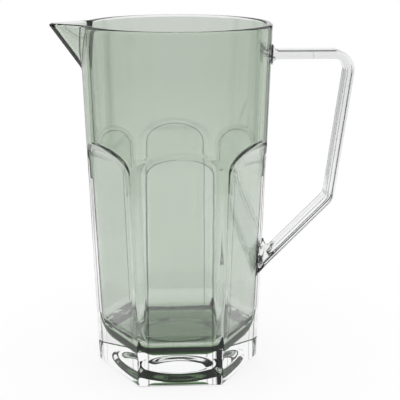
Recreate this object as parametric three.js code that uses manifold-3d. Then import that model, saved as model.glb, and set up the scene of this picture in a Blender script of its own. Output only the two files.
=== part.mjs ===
// A six-panelled acrylic jug: a clear outer body over a tinted liner, and a bent flat-bar handle
// that is cemented to the wall at two joints. Millimetres, +Z up, standing on z = 0, with the
// spout towards -X and the handle towards +X.

import * as THREE from 'three';
import { ConvexGeometry } from 'three/addons/geometries/ConvexGeometry.js';
import { LoftGeometry } from 'three/addons/geometries/LoftGeometry.js';
import { mergeVertices } from 'three/addons/utils/BufferGeometryUtils.js';
import Module from 'manifold-3d';

const wasm = await Module();
wasm.setup();
const radians = THREE.MathUtils.degToRad;

// Body: a slim cone whose lower part is cut by flat panels that sweep out to the cone at the top
const BODY_HEIGHT = 240;
const RIM_RADIUS = 64.1;
const BASE_RADIUS = 56.7;
const PANEL_COUNT = 6;
const PANEL_LEAN = radians(1.94);
const PANEL_HEIGHT = 147.5;
const PANEL_SWEEP_RADIUS = 21;
const PANEL_EDGE_RADIUS = 0.8;
const FOOT_ROUND = 1.2;

// Walls: a clear skin and a thick clear base outside, a tinted skin and floor inside
const CLEAR_WALL = 3.2;
const CLEAR_BASE = 17.5;
const CLEAR_FLOOR_ROUND = 20;
const LINER_WALL = 1.1;
const LINER_FLOOR = 7;
const LINER_CORNER_RADIUS = 10;
const LINER_GAP = 0.3;

// Shallow dome under the base, which leaves a flat foot all round
const DOME_RADIUS = 36;
const DOME_DEPTH = 5;

// Spout: a V drawn out of the rim, with a straight ridge that falls back to the wall
const SPOUT_REACH = 85;
const SPOUT_HALF_ANGLE = radians(37);
const SPOUT_RAKE = radians(35.6);
const SPOUT_NOSE_RADIUS = 2;

// Handle: a flat bar bent twice, with filleted ends
const BAR_THICKNESS = 6;
const BAR_WIDTH = 17.5;
const BAR_EDGE_ROUND = 0.8;
const UPPER_ARM_HEIGHT = 218.85;
const GRIP_REACH = 117.8;
const GRIP_LEAN = radians(7.18);
const LOWER_BEND_HEIGHT = 119.5;
const LOWER_ARM_SLOPE = radians(45.65);
const BEND_RADIUS = 8;
const UPPER_FILLET = 3;
const LOWER_FILLET = 4.3;

// Cement film at each joint of the handle
const CEMENT_FILM = 0.6;
const CEMENT_GAP = 0.3;
const FILLET_LIP = 0.4;

// Facets and spare lengths
const TURNED_SEGMENTS = 96;
const CORNER_STEPS = 4;
const ROUND_STEPS = 6;
const SWEEP_STEPS = 8;
const CUT_SPARE = 5;

const PANEL_ANGLE = (2 * Math.PI) / PANEL_COUNT;
const CONE_SLOPE = (RIM_RADIUS - BASE_RADIUS) / BODY_HEIGHT;
const CONE_LEAN = Math.atan(CONE_SLOPE);
const FULL_WALL = CLEAR_WALL + LINER_GAP + LINER_WALL;
const JOINT_CLEARANCE = CEMENT_FILM + 2 * CEMENT_GAP;

// A closed geometry as a solid that can be joined and cut
function solidOf(geometry) {
  const bare = new THREE.BufferGeometry();
  bare.setAttribute('position', geometry.getAttribute('position'));
  bare.setIndex(geometry.index);
  const merged = mergeVertices(bare, 1e-4);
  const mesh = new wasm.Mesh({
    numProp: 3,
    vertProperties: new Float32Array(merged.attributes.position.array),
    triVerts: new Uint32Array(merged.index.array),
  });
  mesh.merge();
  return new wasm.Manifold(mesh);
}

// A solid as a flat-shaded geometry
function geometryOf(solid) {
  const mesh = solid.getMesh();
  const geometry = new THREE.BufferGeometry();
  geometry.setAttribute('position', new THREE.BufferAttribute(mesh.vertProperties, 3));
  geometry.setIndex(new THREE.BufferAttribute(mesh.triVerts, 1));
  geometry.computeVertexNormals();
  return geometry;
}

// A profile of [radius, height] pairs turned about the Z axis
function turned(profile) {
  const points = profile.map(([radius, height]) => new THREE.Vector2(radius, height));
  return solidOf(new THREE.LatheGeometry(points, TURNED_SEGMENTS).rotateX(Math.PI / 2));
}

// Radius of the cone, moved in from the outside skin by an inset
function coneRadius(height, inset = 0) {
  return BASE_RADIUS + CONE_SLOPE * height - inset / Math.cos(CONE_LEAN);
}

// Distance of a panel from the axis, moved in from the outside skin by an inset
function panelDistance(height, inset = 0) {
  const atBase = BASE_RADIUS * Math.cos(PANEL_ANGLE / 2);
  return atBase + height * Math.tan(PANEL_LEAN) - inset / Math.cos(PANEL_LEAN);
}

// One ring of the panelled section: straight sides joined by corner arcs
function panelRing(distance, height, cornerRadius) {
  const radius = Math.min(cornerRadius, distance);
  const arcCentre = (distance - radius) / Math.cos(PANEL_ANGLE / 2);
  const ring = [];
  for (let corner = 0; corner < PANEL_COUNT; corner += 1) {
    const facing = corner * PANEL_ANGLE;
    for (let step = 0; step <= CORNER_STEPS; step += 1) {
      const turn = facing + (step / CORNER_STEPS - 0.5) * PANEL_ANGLE;
      const x = arcCentre * Math.cos(facing) + radius * Math.cos(turn);
      const y = arcCentre * Math.sin(facing) + radius * Math.sin(turn);
      ring.push(new THREE.Vector3(x, y, height));
    }
  }
  return ring;
}

// The panelled form at an inset: a rounded floor edge, straight panels, then the sweep outwards
function panelledForm({ inset, floor, top, floorRound, cornerRadius }) {
  const rings = [];
  for (let step = 0; step <= ROUND_STEPS; step += 1) {
    const turn = ((step / ROUND_STEPS) * Math.PI) / 2;
    const height = floor + floorRound * (1 - Math.cos(turn));
    const distance = panelDistance(height, inset) - floorRound * (1 - Math.sin(turn));
    rings.push(panelRing(distance, height, cornerRadius));
  }
  const sweepRadius = PANEL_SWEEP_RADIUS + inset;
  const centreDistance = panelDistance(PANEL_HEIGHT) + PANEL_SWEEP_RADIUS * Math.cos(PANEL_LEAN);
  const centreHeight = PANEL_HEIGHT - PANEL_SWEEP_RADIUS * Math.sin(PANEL_LEAN);
  for (let step = 0; step <= SWEEP_STEPS; step += 1) {
    const turn = PANEL_LEAN + (step / SWEEP_STEPS) * (Math.PI / 2 - PANEL_LEAN);
    const distance = centreDistance - sweepRadius * Math.cos(turn);
    const height = centreHeight + sweepRadius * Math.sin(turn);
    rings.push(panelRing(distance, height, cornerRadius));
  }
  rings.push(panelRing(centreDistance + CUT_SPARE, top, cornerRadius));
  return solidOf(new LoftGeometry(rings, { capStart: true, capEnd: true }));
}

// The jug's own form, filled, at an inset from its outside skin and without the spout
function vesselForm({ inset, floor, top, floorRound, cornerRadius }) {
  const cone = turned([
    [0, floor],
    [coneRadius(floor, inset), floor],
    [coneRadius(top, inset), top],
    [0, top],
  ]);
  return cone.intersect(panelledForm({ inset, floor, top: top + CUT_SPARE, floorRound, cornerRadius }));
}

// The filled spout at an inset: the hull of its nose, its ridge and its two roots in the wall
function spoutForm(inset, top) {
  const rootDepth = SPOUT_REACH - RIM_RADIUS + 2 * FULL_WALL;
  const ridge = new THREE.Vector3(Math.sin(SPOUT_RAKE), 0, -Math.cos(SPOUT_RAKE));
  const side = new THREE.Vector3(Math.cos(SPOUT_HALF_ANGLE), Math.sin(SPOUT_HALF_ANGLE), 0);
  const sideNormal = ridge.clone().cross(side).normalize();
  const tip = -SPOUT_REACH + inset / Math.abs(sideNormal.x);
  const ridgeDrop = rootDepth / Math.tan(SPOUT_RAKE);
  const points = [];
  for (const height of [BODY_HEIGHT, top]) {
    for (const hand of [-1, 1]) {
      const halfWidth = hand * rootDepth * Math.tan(SPOUT_HALF_ANGLE);
      points.push(new THREE.Vector3(tip + rootDepth, halfWidth, height));
      for (let step = 0; step <= CORNER_STEPS; step += 1) {
        const turn = (step / CORNER_STEPS) * (Math.PI / 2 - SPOUT_HALF_ANGLE);
        const across = hand * SPOUT_NOSE_RADIUS * Math.sin(turn);
        const along = tip + SPOUT_NOSE_RADIUS * (1 - Math.cos(turn));
        points.push(new THREE.Vector3(along, across, height));
        points.push(new THREE.Vector3(along + rootDepth, across, BODY_HEIGHT - ridgeDrop));
      }
    }
  }
  return solidOf(new ConvexGeometry(points));
}

// The space inside the clear body, open at the top
function cavity(inset, floor, floorRound) {
  const top = BODY_HEIGHT + CUT_SPARE;
  const cornerRadius = LINER_CORNER_RADIUS + CLEAR_WALL - inset;
  const bowl = vesselForm({ inset, floor, top, floorRound, cornerRadius });
  return bowl.add(spoutForm(inset, top));
}

// The dome that hollows the underside
function undersideDome() {
  const ballRadius = (DOME_RADIUS ** 2 + DOME_DEPTH ** 2) / (2 * DOME_DEPTH);
  const spread = Math.asin(DOME_RADIUS / ballRadius);
  const profile = [[0, -CUT_SPARE], [DOME_RADIUS, -CUT_SPARE]];
  for (let step = 0; step < ROUND_STEPS; step += 1) {
    const turn = spread * (1 - step / ROUND_STEPS);
    profile.push([ballRadius * Math.sin(turn), DOME_DEPTH - ballRadius * (1 - Math.cos(turn))]);
  }
  profile.push([0, DOME_DEPTH]);
  return turned(profile);
}

function outerBody() {
  const skin = vesselForm({
    inset: 0,
    floor: 0,
    top: BODY_HEIGHT,
    floorRound: FOOT_ROUND,
    cornerRadius: PANEL_EDGE_RADIUS,
  });
  return skin
    .add(spoutForm(0, BODY_HEIGHT))
    .subtract(cavity(CLEAR_WALL, CLEAR_BASE, CLEAR_FLOOR_ROUND))
    .subtract(undersideDome());
}

function tintedLiner() {
  const inset = CLEAR_WALL + LINER_GAP;
  const floor = CLEAR_BASE + LINER_GAP;
  const skin = vesselForm({
    inset,
    floor,
    top: BODY_HEIGHT,
    floorRound: CLEAR_FLOOR_ROUND - LINER_GAP,
    cornerRadius: LINER_CORNER_RADIUS - LINER_GAP,
  });
  const innerRound = CLEAR_FLOOR_ROUND - LINER_GAP - LINER_WALL;
  return skin
    .add(spoutForm(inset, BODY_HEIGHT))
    .subtract(cavity(FULL_WALL, floor + LINER_FLOOR, innerRound));
}

// Where two lines meet, each given by a point and a direction
function meeting(point, direction, otherPoint, otherDirection) {
  const reach = otherPoint.clone().sub(point).cross(otherDirection) / direction.cross(otherDirection);
  return point.clone().addScaledVector(direction, reach);
}

// A closed outline through corners, each rounded by an arc of its own radius; the first two are sharp
function roundedOutline(corners) {
  const outline = new THREE.Shape();
  corners.forEach(({ at, radius }, index) => {
    if (index === 0) {
      outline.moveTo(at.x, at.y);
    } else if (radius === 0) {
      outline.lineTo(at.x, at.y);
    } else {
      const back = corners[index - 1].at.clone().sub(at).normalize();
      const onward = corners[(index + 1) % corners.length].at.clone().sub(at).normalize();
      const half = Math.acos(back.dot(onward)) / 2;
      const bisector = back.clone().add(onward).normalize();
      const centre = at.clone().addScaledVector(bisector, radius / Math.sin(half));
      const start = at.clone().addScaledVector(back, radius / Math.tan(half)).sub(centre);
      const end = at.clone().addScaledVector(onward, radius / Math.tan(half)).sub(centre);
      outline.absarc(centre.x, centre.y, radius, start.angle(), end.angle(), back.cross(onward) > 0);
    }
  });
  outline.closePath();
  return outline;
}

// An outline in the X-Z plane as a slab across the handle, with its edges rounded
function acrossHandle(outline, width, edgeRound) {
  const slab = new THREE.ExtrudeGeometry(outline, {
    depth: width - 2 * edgeRound,
    curveSegments: ROUND_STEPS,
    bevelEnabled: edgeRound > 0,
    bevelThickness: edgeRound,
    bevelSize: edgeRound,
    bevelOffset: -edgeRound,
    bevelSegments: 2,
  });
  return solidOf(slab.translate(0, 0, edgeRound - width / 2).rotateX(Math.PI / 2));
}

// A fillet in the notch between the wall and one face of an arm; it runs on into both of them
function fillet({ joint, alongWall, alongArm, radius, intoWall }) {
  const notch = Math.acos(alongWall.dot(alongArm));
  const reach = radius / Math.tan(notch / 2);
  const across = alongWall.clone().addScaledVector(alongArm, -alongWall.dot(alongArm)).normalize();
  const sink = across.multiplyScalar(-BAR_EDGE_ROUND);
  const wallEnd = joint.clone().addScaledVector(alongWall, reach + FILLET_LIP);
  const armEnd = joint.clone().addScaledVector(alongArm, reach + FILLET_LIP);
  const outline = roundedOutline([
    { at: wallEnd.clone().add(intoWall), radius: 0 },
    { at: wallEnd, radius: 0 },
    { at: joint, radius },
    { at: armEnd, radius: 0 },
    { at: armEnd.clone().add(sink), radius: 0 },
    { at: joint.clone().add(intoWall).add(sink), radius: 0 },
  ]);
  return acrossHandle(outline, BAR_WIDTH - 2 * BAR_EDGE_ROUND, 0);
}

// The bent bar with its fillets, before its ends are cut to the wall
function handleBar() {
  const point = (x, z) => new THREE.Vector2(x, z);
  const outward = point(1, 0);
  const gripDown = point(-Math.sin(GRIP_LEAN), -Math.cos(GRIP_LEAN));
  const armDown = point(-Math.cos(LOWER_ARM_SLOPE), -Math.sin(LOWER_ARM_SLOPE));
  const wallUp = point(Math.sin(CONE_LEAN), Math.cos(CONE_LEAN));
  const wallDown = wallUp.clone().negate();
  const wallFoot = point(coneRadius(0, -JOINT_CLEARANCE - FILLET_LIP), 0);

  const gripTop = point(GRIP_REACH, UPPER_ARM_HEIGHT);
  const gripDrop = (UPPER_ARM_HEIGHT - LOWER_BEND_HEIGHT) / Math.cos(GRIP_LEAN);
  const gripBottom = gripTop.clone().addScaledVector(gripDown, gripDrop);

  // Corners of one face of the bar, moved off the centre line towards the outside of the bends
  const face = (offset) => {
    const arm = point(0, UPPER_ARM_HEIGHT + offset);
    const gripSide = point(-gripDown.y, gripDown.x);
    const armSide = point(-armDown.y, armDown.x);
    const grip = gripTop.clone().addScaledVector(gripSide, offset);
    const lower = gripBottom.clone().addScaledVector(armSide, offset);
    return {
      upperJoint: meeting(wallFoot, wallUp, arm, outward),
      upperBend: meeting(arm, outward, grip, gripDown),
      lowerBend: meeting(grip, gripDown, lower, armDown),
      lowerJoint: meeting(lower, armDown, wallFoot, wallUp),
    };
  };
  const outer = face(BAR_THICKNESS / 2);
  const inner = face(-BAR_THICKNESS / 2);

  // Each end runs on into the wall by half the bar's width, past the edge that the panels leave there
  const intoUpper = point(-BAR_WIDTH / 2, 0);
  const intoLower = armDown.clone().multiplyScalar(BAR_WIDTH / 2 / Math.cos(LOWER_ARM_SLOPE));
  const outline = roundedOutline([
    { at: inner.upperJoint.clone().add(intoUpper), radius: 0 },
    { at: outer.upperJoint.clone().add(intoUpper), radius: 0 },
    { at: outer.upperBend, radius: BEND_RADIUS + BAR_THICKNESS },
    { at: outer.lowerBend, radius: BEND_RADIUS + BAR_THICKNESS },
    { at: outer.lowerJoint.clone().add(intoLower), radius: 0 },
    { at: inner.lowerJoint.clone().add(intoLower), radius: 0 },
    { at: inner.lowerBend, radius: BEND_RADIUS },
    { at: inner.upperBend, radius: BEND_RADIUS },
  ]);
  const upper = { alongArm: outward, radius: UPPER_FILLET, intoWall: intoUpper };
  const lower = { alongArm: armDown.clone().negate(), radius: LOWER_FILLET, intoWall: intoLower };
  return acrossHandle(outline, BAR_WIDTH, BAR_EDGE_ROUND)
    .add(fillet({ ...upper, joint: outer.upperJoint, alongWall: wallUp }))
    .add(fillet({ ...upper, joint: inner.upperJoint, alongWall: wallDown }))
    .add(fillet({ ...lower, joint: inner.lowerJoint, alongWall: wallUp }));
}

// The jug's filled form, swollen by a clearance, that the joints of the handle are cut to
function wallAt(clearance) {
  return vesselForm({
    inset: -clearance,
    floor: -CUT_SPARE,
    top: BODY_HEIGHT + CUT_SPARE,
    floorRound: FOOT_ROUND,
    cornerRadius: PANEL_EDGE_RADIUS + clearance,
  });
}

// Everything above or below the middle of the grip
function halfSpace(side) {
  const span = 2 * (BODY_HEIGHT + GRIP_REACH);
  const middle = (UPPER_ARM_HEIGHT + LOWER_BEND_HEIGHT) / 2;
  return solidOf(new THREE.BoxGeometry(span, span, span).translate(0, 0, middle + (side * span) / 2));
}

// A named piece with its finish
function piece(name, solid, finish) {
  const material = new THREE.MeshStandardMaterial({ metalness: 0, transparent: true, ...finish });
  const mesh = new THREE.Mesh(geometryOf(solid), material);
  mesh.name = name;
  return mesh;
}

const clearAcrylic = { color: 0xeef0f0, roughness: 0.05, opacity: 0.35 };
const greenAcrylic = { color: 0x9db39a, roughness: 0.05, opacity: 0.6 };
const cement = { color: 0x4a4f4c, roughness: 0.2, opacity: 0.8 };

const bar = handleBar();
const film = bar.intersect(wallAt(CEMENT_FILM + CEMENT_GAP)).subtract(wallAt(CEMENT_GAP));

const jug = new THREE.Group();
jug.add(
  piece('outer_body', outerBody(), clearAcrylic),
  piece('tinted_liner', tintedLiner(), greenAcrylic),
  piece('handle', bar.subtract(wallAt(JOINT_CLEARANCE)), clearAcrylic),
  piece('upper_bond', film.intersect(halfSpace(1)), cement),
  piece('lower_bond', film.intersect(halfSpace(-1)), cement),
);

// The origin is under the middle of the whole outline, from the spout's tip to the grip
const reach = new THREE.Box3().setFromObject(jug);
jug.position.x = -(reach.min.x + reach.max.x) / 2;

export default jug;
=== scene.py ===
"""The looks of a six-panelled acrylic jug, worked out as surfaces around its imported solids.

Metres, +Z up, in the frame of the solids: the spout points to -X and the handle to +X.
"""

import math

import bpy
import numpy as np
from bpy.props import FloatProperty, FloatVectorProperty, PointerProperty
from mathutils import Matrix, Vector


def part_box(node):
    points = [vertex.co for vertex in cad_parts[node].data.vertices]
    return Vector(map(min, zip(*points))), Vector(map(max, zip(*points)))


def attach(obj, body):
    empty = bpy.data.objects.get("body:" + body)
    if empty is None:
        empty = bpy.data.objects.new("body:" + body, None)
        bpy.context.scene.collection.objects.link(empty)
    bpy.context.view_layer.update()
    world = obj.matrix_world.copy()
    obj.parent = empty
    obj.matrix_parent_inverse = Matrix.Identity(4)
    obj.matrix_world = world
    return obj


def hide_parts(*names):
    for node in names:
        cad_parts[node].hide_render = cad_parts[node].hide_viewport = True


bl_info = {
    "name": "Acrylic Jug",
    "version": (1, 0, 0),
    "blender": (4, 5, 0),
    "location": "3D View > Sidebar > Jug",
    "description": "Builds a panelled acrylic jug with a tinted liner and a cemented bar handle",
    "category": "Add Mesh",
}

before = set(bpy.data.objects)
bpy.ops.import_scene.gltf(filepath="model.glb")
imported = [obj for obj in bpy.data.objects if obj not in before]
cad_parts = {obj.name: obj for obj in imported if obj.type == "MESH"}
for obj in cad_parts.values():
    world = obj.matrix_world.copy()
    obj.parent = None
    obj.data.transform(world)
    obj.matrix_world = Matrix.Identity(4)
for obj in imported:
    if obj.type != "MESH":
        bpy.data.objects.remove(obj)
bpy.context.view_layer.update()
BODY_LOW, BODY_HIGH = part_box("outer_body")
LINER_LOW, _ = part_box("tinted_liner")
RIM_RADIUS = BODY_HIGH.y
AXIS_X = BODY_HIGH.x - RIM_RADIUS

MM = 0.001
PANELS = 6
PANEL_ANGLE = 2 * math.pi / PANELS
QUARTER = math.pi / 2
LINER_FLOOR = 7 * MM
LARGEST_CORNER = 0.98

# Columns and rows of the vessel's grids, which lie close together at the corners, the arches and the spout
COLUMNS_PER_PANEL = 42
CORNER_CROWDING = 0.7
ARCH_BELOW = 7 * MM
ARCH_ABOVE = 25 * MM
SPOUT_DROP = 46 * MM
LOW_WALL_ROWS = 14
ARCH_ROWS = 48
HIGH_WALL_ROWS = 5
SPOUT_ROWS = 28
RIM_ROWS = 12
HOLLOW_ROWS = 19
FOOT_ROWS = 5
FOOT_ROUND_ROWS = 7
FLOOR_ROUND_ROWS = 19
FLOOR_ROWS = 12
GAP_ROWS = 48
GAP_SEARCH_ROWS = 2000

# Thinning of the liner under the ribs: by the panel's depth in mm, above the floor, below the panels' tops
RIB_DEPTHS = (3.4, 2.8)
RIB_FOOT = (18 * MM, 40 * MM)
RIB_HEAD = (8 * MM, 30 * MM)
NEAR_AXIS = 1 * MM
LINER_CLEARANCE = 0.05 * MM

# Rows of the handle's grid, and the search for the wall at its ends
EDGE_POINTS = 6
FACE_POINTS = 10
UPPER_BEND_ROWS = 24
LOWER_BEND_ROWS = 18
GRIP_ROWS = 14
JOINT_ROWS = 24
CAP_ROWS = 6
DEPTH_PASSES = 12
MEETING_PASSES = 14
MEETING_REACH = 30 * MM

# Finishes: indices of refraction, marks, and the painted shade line round each panel, by the panel's depth in
# mm
ACRYLIC_INDEX = 1.49
LINER_INDEX = 1.0
FLOW_LINE_LEVEL = 0.62
CEMENT_ROUGHNESS = 0.4
# The painted shade line: its depth, width, wobble and darkness
SHADE_LINE_DEPTH = 3.2
SHADE_LINE_WIDTH = (0.3, 0.12)
SHADE_LINE_WOBBLE = 0.35
SHADE_LINE_DARK = 0.65

# Studio: where smooth steps start and end, on a heading's parts or on the wave that counts the soft boxes
BOX_COUNT = 9
BOX_EDGES = (-0.6, -0.8)
BEHIND_EDGES = (-0.3, -0.2)
FLOOR_EDGES = (-0.6, -0.4)
CEILING_EDGES = (0.56, 0.61)
TOP_EDGES = (0.85, 0.7)
SWEEP_EDGES = (-0.15, -0.29)
LIGHT_POOL = 200 * MM
CAMERA_LEVEL = 1.0
REFLECTED = 0.5
OFTEN_REFLECTED = 3.5

# Stage
SENSOR_WIDTH = 36.0
VIEW_END = 20.0
FLOOR_HALF = 3.0
FLOOR_DROP = 0.3 * MM
LAMP_SIZE = 1.2
LAMP_FROM_AXIS = (-0.3, -0.4, 1.4)
LAMP_TURN = (math.radians(16), math.radians(-12), 0.0)
BOUNCES = 40
GLOSSY_BOUNCES = 24


def length(name, description, default):
    """A size in metres."""
    return FloatProperty(
        name=name, description=description, default=default, subtype="DISTANCE", unit="LENGTH", precision=5
    )


def angle(name, description, degrees):
    """An angle, given in degrees and kept in radians."""
    return FloatProperty(
        name=name, description=description, default=math.radians(degrees), subtype="ANGLE", unit="ROTATION"
    )


def number(name, description, default):
    """A plain number."""
    return FloatProperty(name=name, description=description, default=default, precision=4)


def colour(name, description, default):
    """A linear colour."""
    return FloatVectorProperty(
        name=name, description=description, default=default, size=3, subtype="COLOR", min=0.0, max=1.0
    )


class JugBodySettings(bpy.types.PropertyGroup):
    """Sizes of the vessel, its panels, its walls and its spout."""

    height: length("Height", "Height of the rim", BODY_HIGH.z)
    rim_radius: length("Rim radius", "Outside radius of the round rim", RIM_RADIUS)
    base_radius: length("Base radius", "Radius through the corners of the base", 56.7 * MM)
    panel_lean: angle("Panel lean", "Lean of the flat panels", 1.94)
    panel_height: length("Panel height", "Where the panels start to sweep out", 147.5 * MM)
    sweep_radius: length("Sweep radius", "Radius of the sweep at the top of a panel", 21 * MM)
    ramp_slope: angle("Ramp slope", "Slope of the ramp above the sweep, from upright", 38)
    inner_sweep_radius: length("Inner sweep radius", "The same sweep on the inside face", 25.6 * MM)
    edge_blend: length("Edge blend", "Softness of the outside edges of the panels", 0.4 * MM)
    corner_round: length("Corner round", "Radius of the outside corners", 0.8 * MM)
    foot_round: length("Foot round", "Radius of the edge of the foot", 1.2 * MM)
    rim_round: length("Rim round", "Height of the rounding of the rim", 1.5 * MM)
    wall: length("Wall", "Full wall, clear and tinted", 4.6 * MM)
    clear_wall: length("Clear wall", "Clear part of the wall", 3.5 * MM)
    gap: length("Air gap", "Air in the clear wall, and the skin between it and the liner", 0.15 * MM)
    gap_turn: angle("Gap turn", "Where on the round of the floor the air gap stops, from the floor", 88)
    gap_top: length("Gap end", "Least height where the air gap ends, at the corners", 135 * MM)
    gap_margin: length("Gap margin", "Depth of the panel where the air gap ends", 2.2 * MM)
    floor_height: length("Floor height", "Height of the floor inside", LINER_LOW.z + LINER_FLOOR)
    floor_round: length("Floor round", "Radius between the wall and the floor inside", 10 * MM)
    liner_floor: length("Liner floor", "Thickness of the tinted floor", LINER_FLOOR)
    liner_round: length("Liner round", "Radius between the liner's wall and its underside", 19.7 * MM)
    rib_thinning: length("Rib thinning", "How much thinner the liner is under the ribs", 0.4 * MM)
    inner_corner: length("Inner corner", "Radius of the inside corners", 4 * MM)
    inner_blend: length("Inner blend", "Softness of the inside edges of the panels", 0.4 * MM)
    inner_draft: angle("Inner draft", "How much more the inside leans than the outside", 0.6)
    hollow_radius: length("Hollow radius", "Radius of the hollow under the base", 36 * MM)
    hollow_depth: length("Hollow depth", "Height of the groove in the hollow", 3 * MM)
    hollow_flat: number("Hollow flat", "Flat middle of the hollow, as a share of its radius", 0.45)
    hollow_middle: number("Hollow middle", "Height of the flat middle, as a share of the groove's", 0.3)
    spout_reach: length("Spout reach", "Tip of the spout from the axis", AXIS_X - BODY_LOW.x)
    spout_half_angle: angle("Spout half angle", "Half of the angle of the V", 37.0)
    spout_rake: angle("Spout rake", "Lean of the ridge under the spout", 35.6)
    spout_wall: length("Spout wall", "Wall at the tip of the spout, along the rim", 5 * MM)
    spout_nose: angle("Spout nose", "Softness of the tip, seen from the axis", 1.2)
    spout_blend: length("Spout blend", "Softness of the foot of the spout", 1.6 * MM)


class JugHandleSettings(bpy.types.PropertyGroup):
    """Sizes of the bent bar and of its two joints."""

    thickness: length("Thickness", "Thickness of the bar", 6 * MM)
    width: length("Width", "Width of the bar", 17.5 * MM)
    edge_round: length("Edge round", "Radius of the long edges", 2.0 * MM)
    arm_height: length("Arm height", "Height of the middle of the upper arm", 218.85 * MM)
    grip_reach: length("Grip reach", "Corner of the upper bend from the axis", 117.8 * MM)
    grip_lean: angle("Grip lean", "Lean of the grip", 7.18)
    bend_height: length("Bend height", "Height of the corner of the lower bend", 119.5 * MM)
    arm_slope: angle("Arm slope", "Slope of the lower arm", 45.65)
    bend_radius: length("Bend radius", "Inside radius of both bends", 8 * MM)
    upper_fillet: length("Upper fillet", "Radius of the fillets at the upper joint", 3 * MM)
    lower_fillet: length("Lower fillet", "Radius of the fillet at the lower joint", 4.3 * MM)
    joint_gap: length("Joint gap", "Space that the cement takes at each joint", 1.2 * MM)


class JugFinishSettings(bpy.types.PropertyGroup):
    """Colours and depths of the finishes."""

    clear: colour("Clear acrylic", "Tint of the clear acrylic", (0.985, 0.99, 0.987))
    green: colour("Green tint", "Light that the tint lets through", (0.41, 0.55, 0.37))
    green_density: number("Tint density", "Depth of the tint per metre", 410.0)
    bar: colour("Bar acrylic", "Tint of the bar of the handle", (0.965, 0.97, 0.975))
    cement: colour("Cement", "Colour of the cement film", (0.9, 0.91, 0.9))
    cement_edge: colour("Cement cloud", "Colour of the cloudy spots in the cement", (0.6, 0.62, 0.6))
    cement_density: number("Cement density", "Darkness of the cement per metre", 1200.0)


class JugStageSettings(bpy.types.PropertyGroup):
    """Camera and light."""

    camera_side: length("Camera side", "Camera along X from the jug's axis", -21.428 * MM)
    camera_back: length("Camera back", "Camera along Y", -675.694 * MM)
    camera_height: length("Camera height", "Camera along Z", 302.798 * MM)
    camera_yaw: angle("Camera yaw", "Turn of the view towards +X", 3.149)
    camera_pitch: angle("Camera pitch", "Fall of the view", 15.309)
    camera_lens: number("Camera lens", "Focal length in millimetres", 90.71)
    sweep_level: number("Sweep level", "Brightness of the floor near the jug, seen through it", 0.91)
    wall_level: number("Wall level", "Brightness of the wall and the far floor, seen through it", 0.78)
    floor_share: number("Floor share", "Share of the floor's light that the jug can shade", 0.25)
    lamp_power: number("Lamp power", "Power of the soft lamp above the jug, in watts", 1.0)
    box_level: number("Box level", "Brightness of the soft boxes, seen as reflections", 1.0)
    room_level: number("Room level", "Brightness of the ceiling and of the gaps between the boxes", 0.0)


def smooth_min(a, b, reach):
    """The lesser of a and b, rounded where they are close: min - (reach - |a - b|)^2 / (4 reach)."""
    near = np.maximum(reach - np.abs(a - b), 0.0)
    return np.minimum(a, b) - near**2 / (4 * reach)


def smooth_max(a, b, reach):
    """The greater of a and b, rounded in the same way."""
    return -smooth_min(-a, -b, reach)


def smooth_step(value, start, end):
    """A smooth step from 0 at start to 1 at end: u^2 (3 - 2 u)."""
    u = np.clip((value - start) / (end - start), 0.0, 1.0)
    return u**2 * (3 - 2 * u)


def column_angles():
    """Angles round the axis, crowded towards the corners: middle + 30 deg ((1 - c) u + c sin 90 deg u)."""
    u = 2 * np.arange(COLUMNS_PER_PANEL) / COLUMNS_PER_PANEL - 1
    crowded = (1 - CORNER_CROWDING) * u + CORNER_CROWDING * np.sin(QUARTER * u)
    middles = PANEL_ANGLE * (np.arange(PANELS) + 0.5)
    return (middles[:, None] + PANEL_ANGLE / 2 * crowded[None, :]).ravel()[None, :]


def cone_slope(body):
    """How far the cone widens for each metre of height."""
    return (body.rim_radius - body.base_radius) / body.height


def cone_radius(body, z, inset):
    """Radius of the cone at a height, less the inset square to it."""
    slope = cone_slope(body)
    return body.base_radius + slope * z - inset * math.hypot(1, slope)


def panel_distance(body, z, inset, sweep_radius):
    """Distance of a panel from the axis: a straight lean, an arc that turns outwards, a straight ramp."""
    lean, ramp = body.panel_lean, body.ramp_slope
    start = body.base_radius * math.cos(PANEL_ANGLE / 2) - inset / math.cos(lean)
    straight = start + z * math.tan(lean)
    centre_up = body.panel_height - sweep_radius * math.sin(lean)
    centre_out = start + body.panel_height * math.tan(lean) + sweep_radius * math.cos(lean)
    rise = np.clip(z - centre_up, 0.0, sweep_radius * math.sin(ramp))
    swept = centre_out - np.sqrt(sweep_radius**2 - rise**2)
    ramped = swept + np.maximum(z - centre_up - rise, 0.0) * math.tan(ramp)
    return np.where(z > body.panel_height, ramped, straight)


def hexagon(distance, off_panel, corner):
    """Polar radius of a hexagon with round corners: sides d / cos phi, and arcs about the corner centres."""
    corner = np.minimum(corner, distance * LARGEST_CORNER)
    half = PANEL_ANGLE / 2
    centre = (distance - corner) / math.cos(half)
    off_corner = half - np.abs(off_panel)
    arc = centre * np.cos(off_corner)
    arc = arc + np.sqrt(np.maximum(corner**2 - (centre * np.sin(off_corner)) ** 2, 0.0))
    flat_end = np.arctan((distance - corner) * math.tan(half) / distance)
    return np.where(np.abs(off_panel) < flat_end, distance / np.cos(off_panel), arc)


def spout_radius(body, theta, z, inset):
    """Polar radius of the spout's V, r = x sin b / sin(psi + b), with its tip x drawn back along the rake."""
    half = body.spout_half_angle
    back = inset / body.wall * body.spout_wall
    tip = body.spout_reach - back - (body.height - z) * math.tan(body.spout_rake)
    off_tip = np.abs((theta % (2 * math.pi)) - math.pi)
    off_tip = np.sqrt(np.minimum(off_tip, QUARTER - half) ** 2 + body.spout_nose**2)
    return np.maximum(tip, 0.0) * math.sin(half + body.spout_nose) / np.sin(off_tip + half)


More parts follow.
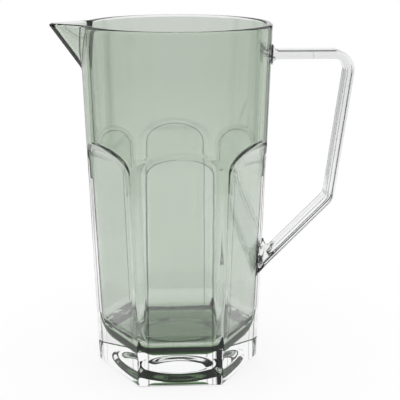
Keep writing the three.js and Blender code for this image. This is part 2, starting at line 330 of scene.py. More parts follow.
def wall_radius(body, theta, z, inset, corner, blend, sweep_radius, draft):
    """Polar radius of the vessel at an inset: the lesser of cone and panels, with the spout drawn out."""
    off_panel = (theta % PANEL_ANGLE) - PANEL_ANGLE / 2
    panels = hexagon(panel_distance(body, z, inset, sweep_radius), off_panel, corner)
    cone = cone_radius(body, z, inset) - draft * (body.height - z)
    round_body = smooth_min(cone, panels, blend)
    return smooth_max(round_body, spout_radius(body, theta, z, inset), body.spout_blend)


def outside_radius(body, theta, z, inset=0.0):
    """Polar radius of the outside skin, or of a skin inset from it."""
    return wall_radius(body, theta, z, inset, body.corner_round, body.edge_blend, body.sweep_radius, 0.0)


def inside_radius(body, theta, z, inset):
    """Polar radius of a face inside the wall: nearer the outside its corners grow and its sweeps shrink."""
    grown = body.wall - inset
    corner = np.maximum(body.inner_corner + grown, body.corner_round)
    sweep = body.inner_sweep_radius - np.maximum(grown, 0.0)
    return wall_radius(body, theta, z, inset, corner, body.inner_blend, sweep, math.tan(body.inner_draft))


def panel_depth(body, points):
    """Depth of the panels below the cone at points round the jug, in mm, less than 0 on the round part."""
    x, y, z = points[..., 0] - AXIS_X, points[..., 1], points[..., 2]
    off_panel = (np.arctan2(y, x) % PANEL_ANGLE) - PANEL_ANGLE / 2
    panels = hexagon(panel_distance(body, z, 0.0, body.sweep_radius), off_panel, body.corner_round)
    return (cone_radius(body, z, 0.0) - panels) / MM


def axis_point(z):
    """A point on the jug's axis."""
    return np.array([AXIS_X, 0.0, z])


def ring_stack(theta, radius, z):
    """Points of stacked rings about the jug's axis: x = axis + r cos t, y = r sin t."""
    radius, z, theta = np.broadcast_arrays(radius, z, theta)
    return np.stack([AXIS_X + radius * np.cos(theta), radius * np.sin(theta), z], axis=-1)


def wall_heights(body, low, high):
    """Heights of the rows of a wall, close together at the arches and at the spout."""
    arch_low = body.panel_height - ARCH_BELOW
    arch_high = body.panel_height + ARCH_ABOVE
    spout_low = body.height - SPOUT_DROP
    rows = [
        np.linspace(low, arch_low, LOW_WALL_ROWS, endpoint=False),
        np.linspace(arch_low, arch_high, ARCH_ROWS, endpoint=False),
        np.linspace(arch_high, spout_low, HIGH_WALL_ROWS, endpoint=False),
        np.linspace(spout_low, high, SPOUT_ROWS),
    ]
    return np.concatenate(rows)[:, None]


def underside_rings(body, theta):
    """Rings of the hollow under the base: a flat middle, a smooth step up into a groove, one down again."""
    r = body.hollow_radius * np.sin(np.linspace(0.0, QUARTER, HOLLOW_ROWS))[1:, None]
    crest = (body.hollow_flat + 1) / 2
    rise = smooth_step(r / body.hollow_radius, body.hollow_flat, crest)
    fall = smooth_step(r / body.hollow_radius, crest, 1.0)
    middle = body.hollow_middle * body.hollow_depth
    return ring_stack(theta, r, middle + (body.hollow_depth - middle) * rise - body.hollow_depth * fall)


def outside_rings(body, theta, top):
    """Rings of the outside from the underside up: the hollow, the flat foot, its round edge, the wall."""
    edge = outside_radius(body, theta, np.array([[0.0]]), body.foot_round)
    step = np.linspace(0.0, 1.0, FOOT_ROWS)[1:-1, None]
    foot = ring_stack(theta, body.hollow_radius + (edge - body.hollow_radius) * step, 0.0)
    turn = np.linspace(0.0, QUARTER, FOOT_ROUND_ROWS)[:-1, None]
    z = body.foot_round * (1 - np.cos(turn))
    inward = body.foot_round * (1 - np.sin(turn))
    rounded = ring_stack(theta, outside_radius(body, theta, z, inward), z)
    z = wall_heights(body, body.foot_round, top)
    wall = ring_stack(theta, outside_radius(body, theta, z), z)
    return np.concatenate([underside_rings(body, theta), foot, rounded, wall])


def rim_rings(body, theta, top):
    """Rings over the rim: half an ellipse from the outside skin to the inside face."""
    outer = outside_radius(body, theta, np.array([[top]]))
    inner = inside_radius(body, theta, np.array([[top]]), body.wall)
    turn = np.linspace(0.0, math.pi, RIM_ROWS)[1:-1, None]
    radius = (outer + inner) / 2 + (outer - inner) / 2 * np.cos(turn)
    return ring_stack(theta, radius, top + body.rim_round * np.sin(turn))


def cup_rings(body, theta, inset, heights, floor, floor_round, last_turn):
    """Rings of a face inside the wall, from the top down: the wall at the given heights, then a round at
    z = floor + r (1 - cos a), inset by r (1 - sin a) more, which stops at last_turn."""
    wall = ring_stack(theta, inside_radius(body, theta, heights, inset), heights)
    turn = np.linspace(QUARTER, last_turn, FLOOR_ROUND_ROWS)[1:, None]
    z = floor + floor_round * (1 - np.cos(turn))
    inward = floor_round * (1 - np.sin(turn))
    return np.concatenate([wall, ring_stack(theta, inside_radius(body, theta, z, inset + inward), z)])


def inside_rings(body, theta, inset, top, floor, floor_round):
    """Rings of a whole face inside the wall: the wall, a quarter round, then the flat floor."""
    heights = wall_heights(body, floor + floor_round, top)[::-1]
    cup = cup_rings(body, theta, inset, heights, floor, floor_round, 0.0)
    flat = np.linspace(1.0, 0.0, FLOOR_ROWS)[1:-1, None]
    edge = inside_radius(body, theta, np.array([[floor]]), inset + floor_round)
    return np.concatenate([cup, ring_stack(theta, edge * flat, floor)])


def gap_end(body, theta):
    """Height where the air gap ends at each angle: where the panel comes out to the round wall."""
    z = np.linspace(body.gap_top, body.height, GAP_SEARCH_ROWS)[:, None]
    points = ring_stack(theta, body.rim_radius, z)
    open_rows = np.sum(panel_depth(body, points) > body.gap_margin / MM, axis=0)
    return z[np.minimum(open_rows, len(z) - 1), 0][None, :]


def gap_face_rings(body, theta, skins):
    """Rings of one face of the air gap, a number of skins outside the liner, on rows spaced by a sine."""
    inset = body.clear_wall - skins * body.gap
    floor = body.floor_height - body.liner_floor - skins * body.gap
    low = floor + body.liner_round
    rise = np.sin(np.linspace(QUARTER, 0.0, GAP_ROWS))[:, None]
    heights = low + (gap_end(body, theta) - low) * rise
    return cup_rings(body, theta, inset, heights, floor, body.liner_round, body.gap_turn)


def pocket_rings(body, theta):
    """Rings of the thin air gap in the clear wall: down its outer face and up its inner one."""
    return np.concatenate([gap_face_rings(body, theta, 2), gap_face_rings(body, theta, 1)[::-1]])


def thin_under_ribs(body, rings):
    """Rings drawn in towards the axis under the ribs, by steps that fade at the foot and at the arches."""
    z = rings[..., 2]
    foot_start, foot_end = RIB_FOOT
    head_start, head_end = RIB_HEAD
    under_rib = smooth_step(panel_depth(body, rings), *RIB_DEPTHS)
    under_rib = under_rib * smooth_step(z, body.floor_height + foot_start, body.floor_height + foot_end)
    under_rib = under_rib * smooth_step(z, body.panel_height - head_start, body.panel_height - head_end)
    spoke = rings[..., :2] - np.array([AXIS_X, 0.0])
    spoke = spoke / np.linalg.norm(spoke, axis=-1, keepdims=True).clip(NEAR_AXIS)
    thinned = rings.copy()
    thinned[..., :2] -= spoke * (body.rib_thinning * under_rib)[..., None]
    return thinned


def ring_quads(rows, columns, closed):
    """Four-sided faces between neighbouring rings, and from the last ring back to the first if closed."""
    row = np.arange(rows if closed else rows - 1)[:, None]
    column = np.arange(columns)[None, :]
    here, onward = row * columns + column, row * columns + (column + 1) % columns
    above = (row + 1) % rows * columns
    return np.stack([here, onward, above + (column + 1) % columns, above + column], axis=-1).reshape(-1, 4)


def turned(points, quads, fans, sign):
    """The same faces, turned so that the volume they enclose has the given sign."""
    triangles = np.concatenate([quads[:, [0, 1, 2]], quads[:, [0, 2, 3]], fans])
    corners = points[triangles] - points.mean(axis=0)
    volume = np.einsum("ij,ij->", corners[:, 0], np.cross(corners[:, 1], corners[:, 2]))
    return (quads, fans) if volume * sign > 0 else (quads[:, ::-1], fans[:, ::-1])


def closed_skin(name, rings, first, last, pocket=None):
    """A closed mesh from a stack of rings with a point at each end, and a closed pocket of air inside it."""
    rows, columns, _ = rings.shape
    points = np.concatenate([rings.reshape(-1, 3), [first, last]])
    around = np.arange(columns)
    next_around = (around + 1) % columns
    start = np.stack([next_around, around, np.full(columns, rows * columns)], axis=-1)
    top = (rows - 1) * columns
    end = np.stack([top + around, top + next_around, np.full(columns, rows * columns + 1)], axis=-1)
    quads, fans = turned(points, ring_quads(rows, columns, False), np.concatenate([start, end]), 1)
    if pocket is not None:
        air = pocket.reshape(-1, 3)
        air_quads, _ = turned(air, ring_quads(len(pocket), columns, True), np.zeros((0, 3), int), -1)
        quads = np.concatenate([quads, air_quads + len(points)])
        points = np.concatenate([points, air])
    mesh = bpy.data.meshes.new(name)
    mesh.from_pydata(points.tolist(), [], quads.tolist() + fans.tolist())
    mesh.polygons.foreach_set("use_smooth", np.ones(len(mesh.polygons), bool))
    mesh.update()
    piece = bpy.data.objects.new(name, mesh)
    bpy.context.scene.collection.objects.link(piece)
    return piece


def bar_section(handle):
    """Outline of the bar: across its width and through its thickness, with a quarter round at each corner."""
    half = np.array([handle.width / 2, handle.thickness / 2]) - handle.edge_round
    quarter = np.linspace(0.0, QUARTER, EDGE_POINTS)
    turn = (np.arange(4)[:, None] * QUARTER + quarter[None, :]).ravel()
    signs = np.repeat(np.array([[1, 1], [-1, 1], [-1, -1], [1, -1]]), len(quarter), axis=0)
    corners = half * signs + handle.edge_round * np.stack([np.cos(turn), np.sin(turn)], axis=-1)
    onward = np.roll(corners, -1, axis=0)
    parts = np.where(np.arange(len(corners)) % len(quarter) == len(quarter) - 1, FACE_POINTS, 1)
    owner = np.repeat(np.arange(len(corners)), parts)
    along = np.concatenate([np.arange(count) / count for count in parts])[:, None]
    return corners[owner] + along * (onward - corners)[owner]


def bar_directions(handle):
    """Unit directions of the upper arm outwards, the grip downwards and the lower arm downwards, in X-Z."""
    out = np.array([1.0, 0.0])
    grip = -np.array([math.sin(handle.grip_lean), math.cos(handle.grip_lean)])
    arm = -np.array([math.cos(handle.arm_slope), math.sin(handle.arm_slope)])
    return out, grip, arm


def square_to(heading):
    """Directions in X-Z at a right angle to headings: (-z, x)."""
    return np.stack([-heading[..., 1], heading[..., 0]], axis=-1)


def spread_across(rings, across):
    """Rings of X-Z points in space, counted from the jug's axis and moved out to y = across."""
    y = np.broadcast_to(across, rings.shape[:2])
    return np.stack([AXIS_X + rings[..., 0], y, rings[..., 1]], axis=-1)


def bend(corner, before, after, radius, count):
    """Arc of a bend about a corner: points and headings, blended by sines from one straight to the next."""
    turn = math.acos(float(before @ after))
    centre = corner + (after - before) / np.linalg.norm(after - before) * radius / math.cos(turn / 2)
    along = np.linspace(0.0, 1.0, count)[:, None]
    heading = np.sin((1 - along) * turn) * before + np.sin(along * turn) * after
    heading = heading / math.sin(turn)
    return centre + square_to(heading) * radius, heading


def bar_path(handle):
    """Middle line of the bar from the upper bend through the grip to the lower bend, and its headings."""
    out, grip, arm = bar_directions(handle)
    upper_corner = np.array([handle.grip_reach, handle.arm_height])
    drop = (handle.arm_height - handle.bend_height) / math.cos(handle.grip_lean)
    radius = handle.bend_radius + handle.thickness / 2
    upper_path, upper_heading = bend(upper_corner, out, grip, radius, UPPER_BEND_ROWS)
    lower_path, lower_heading = bend(upper_corner + drop * grip, grip, arm, radius, LOWER_BEND_ROWS)
    along = np.linspace(0.0, 1.0, GRIP_ROWS)[1:-1, None]
    grip_path = upper_path[-1] + along * (lower_path[0] - upper_path[-1])
    grip_heading = np.broadcast_to(grip, grip_path.shape)
    path = np.concatenate([upper_path, grip_path, lower_path])
    return path, np.concatenate([upper_heading, grip_heading, lower_heading])


def bar_rings(section, path, headings):
    """Rings of the bar's section carried along a path in X-Z: p + n through, at y = across."""
    across, through = section[:, 0], section[:, 1]
    rings = path[:, None, :] + through[None, :, None] * square_to(headings)[:, None, :]
    return spread_across(rings, across)


def wall_depth(body, y, z, gap):
    """How far out along X the outside skin lies at a given y and z, plus a gap, by repeated polar look-up."""
    x = np.full(np.broadcast(y, z).shape, body.rim_radius)
    for _ in range(DEPTH_PASSES):
        radius = outside_radius(body, np.arctan2(y, x), z, -gap)
        x = np.sqrt(np.maximum(radius**2 - y**2, 0.0))
    return x


def wall_meeting(body, start, direction, y, gap):
    """Where lines from X-Z points along a direction meet the skin at y: a secant search for x = depth."""

    def miss(reach):
        point = start + reach[:, None] * direction
        return point[:, 0] - wall_depth(body, y, point[:, 1], gap)

    near, far = np.zeros(len(y)), np.full(len(y), MEETING_REACH)
    miss_near, miss_far = miss(near), miss(far)
    for _ in range(MEETING_PASSES):
        step = miss_far * (far - near) / np.where(miss_far == miss_near, 1.0, miss_far - miss_near)
        near, miss_near = far, miss_far
        far = far - step
        miss_far = miss(far)
    return start + far[:, None] * direction


def fillet_offset(body, handle, station, heading, side, radius, step):
    """How far a fillet leaves the straight face of an arm at steps along it: an arc that touches the arm and
    the wall, blended by sines from the end on the arm to the end on the wall."""
    outward = square_to(heading)
    face = station + side * handle.thickness / 2 * outward
    middle = wall_meeting(body, face[None, :], heading, np.zeros(1), handle.joint_gap)[0]
    slope = cone_slope(body)
    up = side * np.array([slope, 1.0]) / math.hypot(1, slope) * (1 if outward[1] > 0 else -1)
    back = -heading
    notch = math.acos(float(up @ back))
    reach = radius / math.tan(notch / 2)
    centre = middle + (up + back) / np.linalg.norm(up + back) * radius / math.sin(notch / 2)
    from_arm = middle + back * reach - centre
    from_wall = middle + up * reach - centre
    arc = math.acos(float(from_arm @ from_wall) / radius**2)
    travelled = np.linalg.norm(middle - face)
    first = max(travelled - reach, 0.0) / travelled
    bent = np.clip((step - first) / (1 - first), 0.0, 1.0)
    curve = np.sin((1 - bent) * arc) * from_arm + np.sin(bent * arc) * from_wall
    straight = face + step * (middle - face)
    return np.where(bent > 0, centre + curve / math.sin(arc) - straight, 0.0)


def joint_rings(body, handle, section, station, heading, fillets):
    """Rings of an arm's end, from a station to the wall: straight lines, filleted on the listed faces."""
    across, through = section[:, 0], section[:, 1]
    start = station + through[:, None] * square_to(heading)
    end = wall_meeting(body, start, heading, across, handle.joint_gap)
    step = np.linspace(0.0, 1.0, JOINT_ROWS)[1:, None]
    rings = start + step[:, :, None] * (end - start)
    for side, radius in fillets:
        offset = fillet_offset(body, handle, station, heading, side, radius, step)
        weight = np.clip(side * through / (handle.thickness / 2 - handle.edge_round), 0.0, 1.0)
        rings = rings + weight[None, :, None] * offset[:, None, :]
    rings[-1, :, 0] = wall_depth(body, across, rings[-1, :, 1], handle.joint_gap)
    return spread_across(rings, across)


def joint_cap(body, handle, ring):
    """Rings that close an arm's end, shrunk towards its middle and laid along the wall; and that middle."""
    middle = ring.mean(axis=0)
    shrink = np.linspace(1.0, 0.0, CAP_ROWS)[1:-1, None, None]
    rings = middle + shrink * (ring - middle)
    rings[..., 0] = AXIS_X + wall_depth(body, rings[..., 1], rings[..., 2], handle.joint_gap)
    depth = wall_depth(body, np.array([middle[1]]), np.array([middle[2]]), handle.joint_gap)
    return rings, np.array([AXIS_X + depth[0], middle[1], middle[2]])


def principled_material(name):
    """A new material with a Principled shader: the material, its node tree, the shader and the output."""
    material = bpy.data.materials.new(name)
    material.use_nodes = True
    tree = material.node_tree
    tree.nodes.clear()
    shader = tree.nodes.new("ShaderNodeBsdfPrincipled")
    output = tree.nodes.new("ShaderNodeOutputMaterial")
    tree.links.new(shader.outputs["BSDF"], output.inputs["Surface"])
    return material, tree, shader, output


def object_place(tree):
    """The object's own coordinates."""
    return tree.nodes.new("ShaderNodeTexCoord").outputs["Object"]


def feed(tree, value, socket):
    """Give a socket a plain number or a link."""
    if isinstance(value, (int, float)):
        socket.default_value = value
    else:
        tree.links.new(value, socket)


def math_node(tree, operation, *values):
    """A maths node, whose inputs are links or plain numbers."""
    node = tree.nodes.new("ShaderNodeMath")
    node.operation = operation
    for socket, value in zip(node.inputs, values):
        feed(tree, value, socket)
    return node.outputs["Value"]


def span_node(tree, value, start, end, low=0.0, high=1.0, smooth=False):
    """A level from low to high as a value goes from start to end, straight or as a smooth step."""
    node = tree.nodes.new("ShaderNodeMapRange")
    node.interpolation_type = "SMOOTHSTEP" if smooth else "LINEAR"
    node.inputs["From Min"].default_value = start
    node.inputs["From Max"].default_value = end
    node.inputs["To Min"].default_value = low
    node.inputs["To Max"].default_value = high
    tree.links.new(value, node.inputs["Value"])
    return node.outputs["Result"]


def mix_node(tree, factor, first, second):
    """A blend of two levels by a factor."""
    node = tree.nodes.new("ShaderNodeMix")
    for name, value in (("Factor", factor), ("A", first), ("B", second)):
        feed(tree, value, node.inputs[name])
    return node.outputs["Result"]


def ramp_node(tree, value, start, end):
    """A smooth step from 0 at start to 1 at end."""
    return span_node(tree, value, start, end, smooth=True)


def noise_node(tree, place, stretch, scale, detail):
    """A noise over the object's own coordinates, drawn out along Z by a stretch."""
    squeeze = tree.nodes.new("ShaderNodeMapping")
    squeeze.inputs["Scale"].default_value = (1.0, 1.0, 1.0 / stretch)
    tree.links.new(place, squeeze.inputs["Vector"])
    noise = tree.nodes.new("ShaderNodeTexNoise")
    noise.inputs["Scale"].default_value = scale
    noise.inputs["Detail"].default_value = detail
    tree.links.new(squeeze.outputs["Vector"], noise.inputs["Vector"])
    return noise.outputs["Fac"]


def dimmed(tree, tint, loss):
    """A colour less the share of it that is lost: tint (1 - loss)."""
    node = tree.nodes.new("ShaderNodeVectorMath")
    node.operation = "SCALE"
    tree.links.new(tint, node.inputs[0])
    tree.links.new(math_node(tree, "SUBTRACT", 1.0, loss), node.inputs["Scale"])
    return node.outputs["Vector"]


def add_relief(tree, shader, height, strength, distance):
    """Let a height bend the surface's normals a little."""
    bump = tree.nodes.new("ShaderNodeBump")
    bump.inputs["Strength"].default_value = strength
    bump.inputs["Distance"].default_value = distance
    tree.links.new(height, bump.inputs["Height"])
    tree.links.new(bump.outputs["Normal"], shader.inputs["Normal"])


def add_absorption(tree, output, tint, density):
    """Let a piece take up light along the way through it."""
    volume = tree.nodes.new("ShaderNodeVolumeAbsorption")
    volume.inputs["Color"].default_value = (*tint, 1.0)
    volume.inputs["Density"].default_value = density
    tree.links.new(volume.outputs["Volume"], output.inputs["Volume"])


def moulding_marks():
    """Marks of moulding in acrylic: streaks, a few flow lines, specks, smears and a faint waviness."""
    tree = bpy.data.node_groups.new("moulding_marks", "ShaderNodeTree")
    for name, kind, default in (
        ("Tint", "NodeSocketColor", (1.0, 1.0, 1.0, 1.0)),
        ("Streaks", "NodeSocketFloat", 0.02),
        ("Flow Lines", "NodeSocketFloat", 0.2),
        ("Specks", "NodeSocketFloat", 0.3),
        ("Smear", "NodeSocketFloat", 0.02),
    ):
        tree.interface.new_socket(name, in_out="INPUT", socket_type=kind).default_value = default
    for name, kind in (("Tint", "Color"), ("Roughness", "Float"), ("Height", "Float")):
        tree.interface.new_socket(name, in_out="OUTPUT", socket_type="NodeSocket" + kind)
    given = tree.nodes.new("NodeGroupInput").outputs
    result = tree.nodes.new("NodeGroupOutput").inputs
    place = object_place(tree)

    streak = noise_node(tree, place, stretch=14.0, scale=130.0, detail=3.0)
    streak = math_node(tree, "MULTIPLY", streak, given["Streaks"])

    wander = noise_node(tree, place, stretch=2.2, scale=11.0, detail=0.0)
    line = math_node(tree, "ABSOLUTE", math_node(tree, "SUBTRACT", wander, FLOW_LINE_LEVEL))
    line = ramp_node(tree, line, start=0.0035, end=0.001)
    patch = noise_node(tree, place, stretch=1.0, scale=17.0, detail=0.0)
    line = math_node(tree, "MULTIPLY", line, ramp_node(tree, patch, start=0.52, end=0.6))
    line = math_node(tree, "MULTIPLY", line, given["Flow Lines"])

    cells = tree.nodes.new("ShaderNodeTexVoronoi")
    cells.inputs["Scale"].default_value = 55.0
    tree.links.new(place, cells.inputs["Vector"])
    speck = ramp_node(tree, cells.outputs["Distance"], start=0.045, end=0.02)
    cell_colour = tree.nodes.new("ShaderNodeSeparateColor")
    tree.links.new(cells.outputs["Color"], cell_colour.inputs["Color"])
    chosen = ramp_node(tree, cell_colour.outputs["Red"], start=0.8, end=0.9)
    speck = math_node(tree, "MULTIPLY", speck, chosen)
    speck = math_node(tree, "MULTIPLY", speck, given["Specks"])

    loss = math_node(tree, "ADD", math_node(tree, "ADD", streak, line), speck)
    tree.links.new(dimmed(tree, given["Tint"], loss), result["Tint"])

    smear = noise_node(tree, place, stretch=1.0, scale=40.0, detail=4.0)
    smear = ramp_node(tree, smear, start=0.55, end=0.75)
    tree.links.new(math_node(tree, "MULTIPLY", smear, given["Smear"]), result["Roughness"])
    tree.links.new(noise_node(tree, place, stretch=3.0, scale=60.0, detail=1.0), result["Height"])
    return tree


def acrylic(name, tint, index, streaks, waviness):
    """Polished acrylic with the marks of moulding: the material, its node tree, its shader and its output."""
    material, tree, shader, output = principled_material(name)
    shader.inputs["IOR"].default_value = index
    shader.inputs["Transmission Weight"].default_value = 1.0
    marks = tree.nodes.new("ShaderNodeGroup")
    marks.node_tree = bpy.data.node_groups.get("moulding_marks") or moulding_marks()
    marks.inputs["Tint"].default_value = (*tint, 1.0)
    marks.inputs["Streaks"].default_value = streaks
    tree.links.new(marks.outputs["Tint"], shader.inputs["Base Color"])
    tree.links.new(marks.outputs["Roughness"], shader.inputs["Roughness"])
    add_relief(tree, shader, marks.outputs["Height"], strength=waviness, distance=0.2 * MM)
    return material, tree, shader, output


def clear_acrylic_and_shade_line(finish):
    """Clear acrylic of the body, with painted shade: a fine broken dark line at a set depth of each panel,
    standing in for the dark line that refraction at the panels' edges gives.
    """
    material, tree, shader, _ = acrylic(
        "polished_clear_acrylic", finish.clear, ACRYLIC_INDEX, streaks=0.02, waviness=0.05
    )
    clear = shader.inputs["Base Color"].links[0].from_socket
    place = object_place(tree)
    # Painted shade: a dark line at a set depth of the panel, wobbled and broken by noise, dims the base
    # colour
    depth = tree.nodes.new("ShaderNodeAttribute")
    depth.attribute_name = "panel_depth"
    wobble = noise_node(tree, place, stretch=1.0, scale=90.0, detail=2.0)
    wobble = math_node(tree, "MULTIPLY", wobble, SHADE_LINE_WOBBLE)
    off_shade_line = math_node(tree, "SUBTRACT", depth.outputs["Fac"], SHADE_LINE_DEPTH)
    off_shade_line = math_node(tree, "ABSOLUTE", math_node(tree, "ADD", off_shade_line, wobble))
    line = ramp_node(tree, off_shade_line, *SHADE_LINE_WIDTH)
    broken = noise_node(tree, place, stretch=4.0, scale=60.0, detail=1.0)
    line = math_node(tree, "MULTIPLY", line, ramp_node(tree, broken, start=0.25, end=0.5))
    loss = math_node(tree, "MULTIPLY", line, SHADE_LINE_DARK)
    tree.links.new(dimmed(tree, clear, loss), shader.inputs["Base Color"])
    return material


def bar_acrylic(finish):
    """Clear acrylic of the handle's bar, which is smoother than the body's."""
    material, *_ = acrylic("polished_bar_acrylic", finish.bar, ACRYLIC_INDEX, streaks=0.01, waviness=0.005)
    return material


def green_acrylic(finish):
    """Tinted acrylic within acrylic of its own kind, where it bends no light and shows only its colour."""
    material, tree, _, output = acrylic(
        "polished_green_acrylic", (1.0, 1.0, 1.0), LINER_INDEX, streaks=0.03, waviness=0.02
    )
    add_absorption(tree, output, finish.green, finish.green_density)
    return material


def cement(finish):
    """Cured cement: clear but dark along its length, with a cloudy skin."""
    material, tree, shader, output = principled_material("cured_cement")
    shader.inputs["IOR"].default_value = ACRYLIC_INDEX
    shader.inputs["Transmission Weight"].default_value = 1.0
    cloud = noise_node(tree, object_place(tree), stretch=1.0, scale=400.0, detail=3.0)
    tint = tree.nodes.new("ShaderNodeMix")
    tint.data_type = "RGBA"
    tint.inputs["A"].default_value = (*finish.cement, 1.0)
    tint.inputs["B"].default_value = (*finish.cement_edge, 1.0)
    tree.links.new(ramp_node(tree, cloud, start=0.5, end=0.8), tint.inputs["Factor"])
    tree.links.new(tint.outputs["Result"], shader.inputs["Base Color"])
    tree.links.new(math_node(tree, "MULTIPLY", cloud, CEMENT_ROUGHNESS), shader.inputs["Roughness"])
    add_relief(tree, shader, cloud, strength=0.3, distance=0.1 * MM)
    add_absorption(tree, output, (0.0, 0.0, 0.0), finish.cement_density)
    return material


def studio_level(tree, stage, heading):
    """Brightness of the studio along a heading: white to the camera, a pale floor and wall through the jug.
    A ray that was reflected on its way sees soft boxes with dark gaps behind the jug, and a dark ceiling."""
    path = tree.nodes.new("ShaderNodeLightPath").outputs
    split = tree.nodes.new("ShaderNodeSeparateXYZ")
    tree.links.new(heading, split.inputs["Vector"])
    x, y, z = (split.outputs[axis] for axis in "XYZ")
    turn = math_node(tree, "ARCTAN2", y, x)
    wave = math_node(tree, "COSINE", math_node(tree, "MULTIPLY", turn, BOX_COUNT))
    gaps = math_node(tree, "MULTIPLY", ramp_node(tree, wave, *BOX_EDGES), ramp_node(tree, y, *BEHIND_EDGES))
    gaps = math_node(tree, "MULTIPLY", gaps, ramp_node(tree, z, *FLOOR_EDGES))
    ceiling = math_node(tree, "MULTIPLY", ramp_node(tree, z, *CEILING_EDGES), ramp_node(tree, z, *TOP_EDGES))
    often = math_node(tree, "GREATER_THAN", path["Glossy Depth"], OFTEN_REFLECTED)
    dark = math_node(tree, "MAXIMUM", math_node(tree, "MAXIMUM", gaps, ceiling), often)
    mirrored = span_node(tree, dark, 0.0, 1.0, low=stage.box_level, high=stage.room_level)
    through = span_node(tree, z, *SWEEP_EDGES, low=stage.wall_level, high=stage.sweep_level)
    reflected = math_node(tree, "GREATER_THAN", path["Glossy Depth"], REFLECTED)
    return mix_node(tree, path["Is Camera Ray"], mix_node(tree, reflected, through, mirrored), CAMERA_LEVEL)


def pale_floor(stage):
    """Pale floor that shows as the background to the camera and through the jug, and takes the jug's shadow:
    a glow that leaves room for the light which a dull white gives back where nothing stands in its way.
    The glow is painted studio light: seen through the jug it is brighter near the foot; to rays reflected in
    the jug it shows soft boxes with dark gaps behind the jug; and it is dark to rays reflected more than
    three times.
    Its heading is the way from a point above the jug's foot to the place on the floor."""
    material, tree, shader, _ = principled_material("pale_floor")
    shader.inputs["Base Color"].default_value = (stage.floor_share, stage.floor_share, stage.floor_share, 1.0)
    shader.inputs["Roughness"].default_value = 1.0
    shader.inputs["Specular IOR Level"].default_value = 0.0
    shader.inputs["Emission Color"].default_value = (1.0, 1.0, 1.0, 1.0)
    outwards = tree.nodes.new("ShaderNodeVectorMath")
    outwards.operation = "SUBTRACT"
    outwards.inputs[1].default_value = (AXIS_X, 0.0, LIGHT_POOL)
    tree.links.new(object_place(tree), outwards.inputs[0])
    heading = tree.nodes.new("ShaderNodeVectorMath")
    heading.operation = "NORMALIZE"
    tree.links.new(outwards.outputs["Vector"], heading.inputs[0])
    # Painted studio light: the glow takes the studio's level along the heading from a point above the foot
    level = studio_level(tree, stage, heading.outputs["Vector"])
    glow = math_node(tree, "SUBTRACT", level, stage.floor_share * stage.wall_level)
    tree.links.new(math_node(tree, "MAXIMUM", glow, 0.0), shader.inputs["Emission Strength"])
    return material


def studio(stage):
    """Studio round the jug, looked up by the heading of a ray."""
    world = bpy.data.worlds.new("studio")
    world.use_nodes = True
    tree = world.node_tree
    tree.nodes.clear()
    background = tree.nodes.new("ShaderNodeBackground")
    background.inputs["Color"].default_value = (1.0, 1.0, 1.0, 1.0)
    heading = tree.nodes.new("ShaderNodeTexCoord").outputs["Generated"]
    tree.links.new(studio_level(tree, stage, heading), background.inputs["Strength"])
    output = tree.nodes.new("ShaderNodeOutputWorld")
    tree.links.new(background.outputs["Background"], output.inputs["Surface"])
    return world


def place_camera(scene, stage):
    """The camera that was fitted to the rim, the base and the handle."""
    data = bpy.data.cameras.new("camera")
    data.lens = stage.camera_lens
    data.sensor_width = SENSOR_WIDTH
    data.clip_end = VIEW_END
    camera = bpy.data.objects.new("camera", data)
    camera.location = (AXIS_X + stage.camera_side, stage.camera_back, stage.camera_height)
    camera.rotation_euler = (QUARTER - stage.camera_pitch, 0.0, -stage.camera_yaw)
    scene.collection.objects.link(camera)
    scene.camera = camera


def place_lamp(scene, stage):
    """A large soft lamp above the jug, which doesn't show in it."""
    data = bpy.data.lights.new("soft_lamp", "AREA")
    data.energy = stage.lamp_power
    data.size = LAMP_SIZE
    lamp = bpy.data.objects.new("soft_lamp", data)
    side, back, up = LAMP_FROM_AXIS
    lamp.location = (AXIS_X + side, back, up)
    lamp.rotation_euler = LAMP_TURN
    lamp.visible_glossy = False
    lamp.visible_transmission = False
    scene.collection.objects.link(lamp)


def floor_sheet(scene):
    """A square floor just under the foot of the jug."""
    mesh = bpy.data.meshes.new("floor")
    square = np.array([[-1, -1], [1, -1], [1, 1], [-1, 1]]) * FLOOR_HALF
    corners = np.column_stack([square, np.full(len(square), -FLOOR_DROP)])
    mesh.from_pydata(corners.tolist(), [], [(0, 1, 2, 3)])
    floor = bpy.data.objects.new("floor", mesh)
    scene.collection.objects.link(floor)
    return floor


class JUG_OT_stage(bpy.types.Operator):
    """Set the camera, the pale floor, the lamp and the studio round the jug"""

    bl_idname = "jug.stage"
    bl_label = "Stage"

    def execute(self, context):
        scene = context.scene
        stage = scene.jug_stage
        place_camera(scene, stage)
        floor = floor_sheet(scene)
        floor.data.materials.append(pale_floor(stage))
        place_lamp(scene, stage)
        scene.world = studio(stage)
        scene.view_settings.view_transform = "Standard"
        scene.cycles.max_bounces = BOUNCES
        scene.cycles.transmission_bounces = BOUNCES
        scene.cycles.glossy_bounces = GLOSSY_BOUNCES
        return {"FINISHED"}


class JUG_OT_clear_body(bpy.types.Operator):
    """Make the clear body: one closed skin from the hollow under the base over the rim to the floor inside"""

    bl_idname = "jug.clear_body"
    bl_label = "Clear body"

    def execute(self, context):
        body = context.scene.jug_body
        theta = column_angles()
        top = body.height - body.rim_round
        outside = outside_rings(body, theta, top)
        rim = rim_rings(body, theta, top)
        inside = inside_rings(body, theta, body.wall, top, body.floor_height, body.floor_round)
        rings = np.concatenate([outside, rim, inside])
        underside = axis_point(body.hollow_middle * body.hollow_depth)
        floor = axis_point(body.floor_height)
        piece = closed_skin("clear_body", rings, underside, floor, pocket_rings(body, theta))
        # Depth of the panels at the outside points, which places the painted shade line; zero elsewhere
        depth = np.zeros(len(piece.data.vertices))
        depth[: outside[..., 0].size] = panel_depth(body, outside.reshape(-1, 3))
        piece.data.attributes.new("panel_depth", "FLOAT", "POINT").data.foreach_set("value", depth)
        piece.data.materials.append(clear_acrylic_and_shade_line(context.scene.jug_finish))
        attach(piece, "root")
        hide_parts("outer_body")
        return {"FINISHED"}


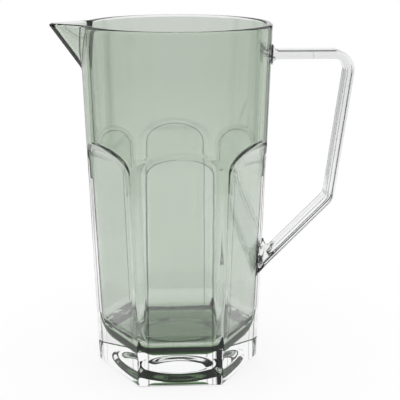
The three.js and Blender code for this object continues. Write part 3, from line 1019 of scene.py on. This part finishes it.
class JUG_OT_tinted_liner(bpy.types.Operator):
    """Make the tinted liner: a thin closed cup just under the inside face of the body"""

    bl_idname = "jug.tinted_liner"
    bl_label = "Tinted liner"

    def execute(self, context):
        body = context.scene.jug_body
        theta = column_angles()
        top = body.height - body.rim_round - LINER_CLEARANCE
        floor = body.floor_height - LINER_CLEARANCE
        lower_floor = body.floor_height - body.liner_floor
        outer = inside_rings(body, theta, body.clear_wall, top, lower_floor, body.liner_round)[::-1]
        inner = inside_rings(body, theta, body.wall - LINER_CLEARANCE, top, floor, body.floor_round)
        rings = np.concatenate([thin_under_ribs(body, outer), inner])
        piece = closed_skin("tinted_liner_skin", rings, axis_point(lower_floor), axis_point(floor))
        piece.data.materials.append(green_acrylic(context.scene.jug_finish))
        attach(piece, "root")
        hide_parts("tinted_liner")
        return {"FINISHED"}


class JUG_OT_handle(bpy.types.Operator):
    """Make the handle: a flat bar carried round two bends, its ends laid against the wall"""

    bl_idname = "jug.handle"
    bl_label = "Handle"

    def execute(self, context):
        body = context.scene.jug_body
        handle = context.scene.jug_handle
        section = bar_section(handle)
        mirrored = section * np.array([1.0, -1.0])
        out, _, arm = bar_directions(handle)
        path, headings = bar_path(handle)
        upper_fillets = [(1, handle.upper_fillet), (-1, handle.upper_fillet)]
        lower_fillets = [(-1, handle.lower_fillet)]
        upper = joint_rings(body, handle, mirrored, path[0], -out, upper_fillets)
        lower = joint_rings(body, handle, section, path[-1], arm, lower_fillets)
        upper_cap, upper_end = joint_cap(body, handle, upper[-1])
        lower_cap, lower_end = joint_cap(body, handle, lower[-1])
        middle = bar_rings(section, path, headings)
        rings = np.concatenate([upper_cap[::-1], upper[::-1], middle, lower, lower_cap])
        piece = closed_skin("bar_handle", rings, upper_end, lower_end)
        piece.data.materials.append(bar_acrylic(context.scene.jug_finish))
        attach(piece, "root")
        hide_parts("handle")
        return {"FINISHED"}


class JUG_OT_bonds(bpy.types.Operator):
    """Finish the cement films at the two joints of the handle"""

    bl_idname = "jug.bonds"
    bl_label = "Cement films"

    def execute(self, context):
        material = cement(context.scene.jug_finish)
        for name in ("upper_bond", "lower_bond"):
            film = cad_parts[name]
            film.data.materials.clear()
            film.data.materials.append(material)
        return {"FINISHED"}


class JUG_PT_panel(bpy.types.Panel):
    """Lists the pieces of the jug"""

    bl_idname = "JUG_PT_panel"
    bl_label = "Acrylic Jug"
    bl_space_type = "VIEW_3D"
    bl_region_type = "UI"
    bl_category = "Jug"

    def draw(self, context):
        for operator in OPERATORS:
            self.layout.operator(operator.bl_idname)


SETTINGS = {
    "jug_body": JugBodySettings,
    "jug_handle": JugHandleSettings,
    "jug_finish": JugFinishSettings,
    "jug_stage": JugStageSettings,
}
OPERATORS = (JUG_OT_stage, JUG_OT_clear_body, JUG_OT_tinted_liner, JUG_OT_handle, JUG_OT_bonds)


def register():
    for name, settings in SETTINGS.items():
        bpy.utils.register_class(settings)
        setattr(bpy.types.Scene, name, PointerProperty(type=settings))
    for operator in OPERATORS:
        bpy.utils.register_class(operator)
    bpy.utils.register_class(JUG_PT_panel)


def unregister():
    bpy.utils.unregister_class(JUG_PT_panel)
    for operator in reversed(OPERATORS):
        bpy.utils.unregister_class(operator)
    for name, settings in SETTINGS.items():
        delattr(bpy.types.Scene, name)
        bpy.utils.unregister_class(settings)


def main():
    register()
    bpy.ops.jug.stage()
    bpy.ops.jug.clear_body()
    bpy.ops.jug.tinted_liner()
    bpy.ops.jug.handle()
    bpy.ops.jug.bonds()


if __name__ == "__main__":
    main()
